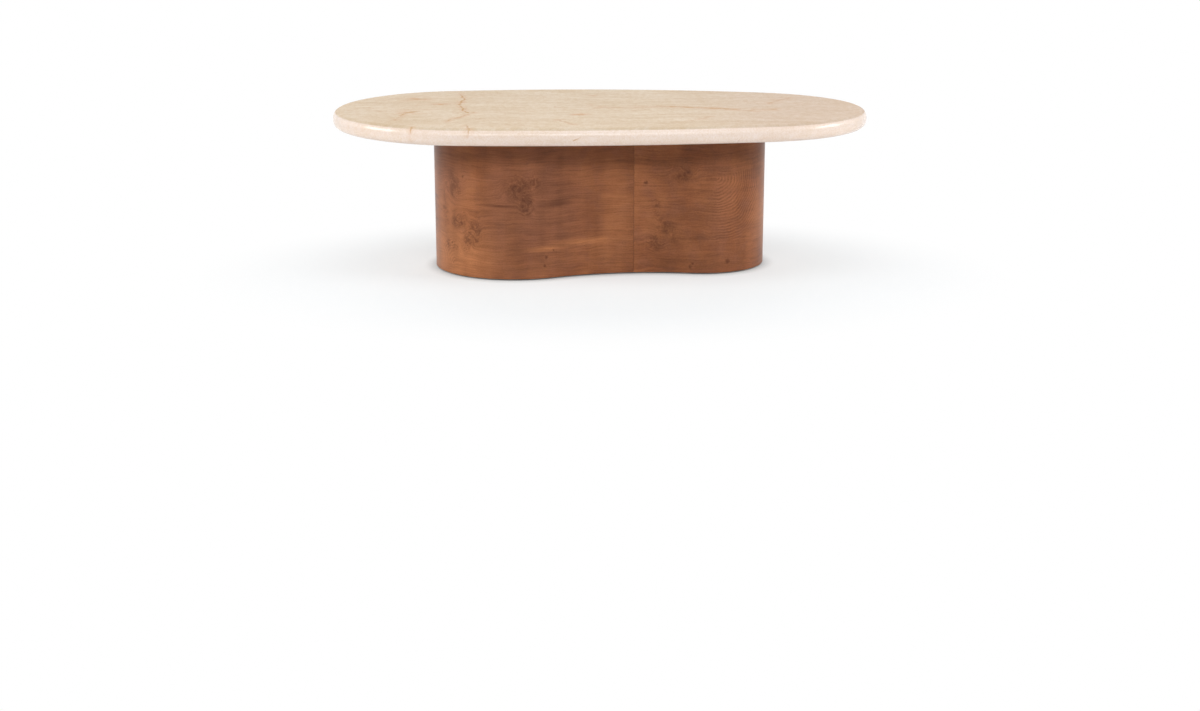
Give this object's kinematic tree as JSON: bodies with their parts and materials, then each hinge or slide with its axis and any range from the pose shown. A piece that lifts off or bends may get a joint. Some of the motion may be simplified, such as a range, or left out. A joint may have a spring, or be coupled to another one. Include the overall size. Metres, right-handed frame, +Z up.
{
  "type": "coffee table",
  "caption": "Low coffee table: pebble-shaped cream marble slab with a rounded edge on a waisted plinth in brown burl veneer, standing on levelling feet.",
  "frame": {"origin": "on the floor under the middle of the slab's bounding box, feet screwed in", "axes": "+X along the table to the right as seen from the front, +Y to the back, +Z up"},
  "size_m": [1.1938, 0.6857, 0.3556],
  "materials": {
    "marble": "polished",
    "burl_veneer": "satin",
    "plywood": "matte",
    "steel": "satin",
    "foot_polymer": "matte"
  },
  "bodies": {
    "table": {"marble_top": "marble", "veneer_left": "burl_veneer", "veneer_right": "burl_veneer", "shell_left": "plywood", "shell_right": "plywood", "plinth_top_board": "plywood", "plinth_base_board": "plywood", "left_rib": "plywood", "right_rib": "plywood", "front_seam_strip": "plywood", "back_seam_strip": "plywood", "left_foot_nuts": "steel", "right_foot_nuts": "steel"},
    "foot_front_left": {"foot_pad_front_left": "foot_polymer", "foot_stud_front_left": "steel"},
    "foot_front_right": {"foot_pad_front_right": "foot_polymer", "foot_stud_front_right": "steel"},
    "foot_back_left": {"foot_pad_back_left": "foot_polymer", "foot_stud_back_left": "steel"},
    "foot_back_right": {"foot_pad_back_right": "foot_polymer", "foot_stud_back_right": "steel"}
  },
  "joints": [
    {"name": "front_left_foot_screw", "type": "slide", "parent": "table", "child": "foot_front_left", "axis": [0, 0, -1], "range_m": [0, 0.01]},
    {"name": "front_right_foot_screw", "type": "slide", "parent": "table", "child": "foot_front_right", "axis": [0, 0, -1], "range_m": [0, 0.01]},
    {"name": "back_left_foot_screw", "type": "slide", "parent": "table", "child": "foot_back_left", "axis": [0, 0, -1], "range_m": [0, 0.01]},
    {"name": "back_right_foot_screw", "type": "slide", "parent": "table", "child": "foot_back_right", "axis": [0, 0, -1], "range_m": [0, 0.01]}
  ]
}
